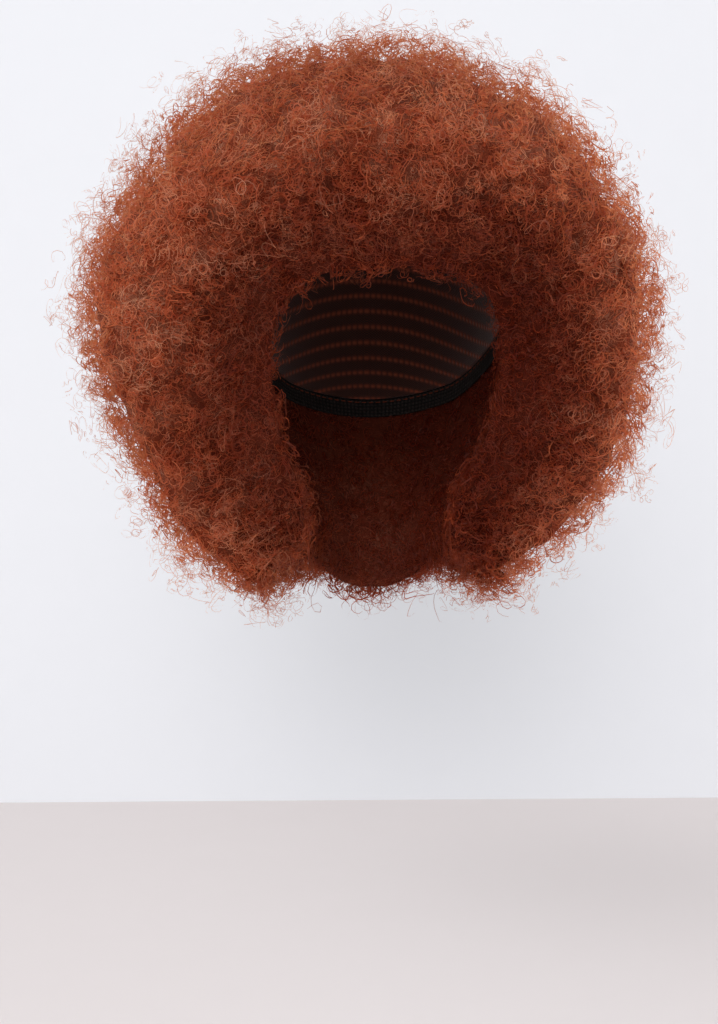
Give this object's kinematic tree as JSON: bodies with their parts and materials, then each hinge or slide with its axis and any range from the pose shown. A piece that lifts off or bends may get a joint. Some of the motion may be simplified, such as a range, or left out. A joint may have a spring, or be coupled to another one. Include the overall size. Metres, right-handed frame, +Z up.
{
  "type": "afro wig",
  "caption": "Round afro wig: frizzy hair locks stand out all round a stretch cap with a forehead band, nape band and ear tabs, open for the face and neck.",
  "frame": {"origin": "the point inside the cap that sits on the crown of the wearer's head", "axes": "+Z up, the wearer looks along -Y, +X is the wearer's left"},
  "size_m": [0.3457, 0.3127, 0.3287],
  "materials": {
    "hair": "matte frizzy synthetic fibre, auburn with copper ends and dark roots",
    "cap_net": "matte stretch net with sewn wefts",
    "edging": "matte ribbed elastic"
  },
  "bodies": {
    "root": {"cap": "cap_net", "front_band": "edging", "nape_band": "edging", "ear_tab_left": "edging", "ear_tab_right": "edging", "hair_row_01": "hair", "hair_row_02": "hair", "hair_row_03": "hair", "hair_row_04": "hair", "hair_row_05": "hair", "hair_row_06": "hair", "hair_row_07": "hair", "hair_row_08": "hair", "hair_row_09": "hair", "hair_row_10": "hair"}
  },
  "joints": []
}
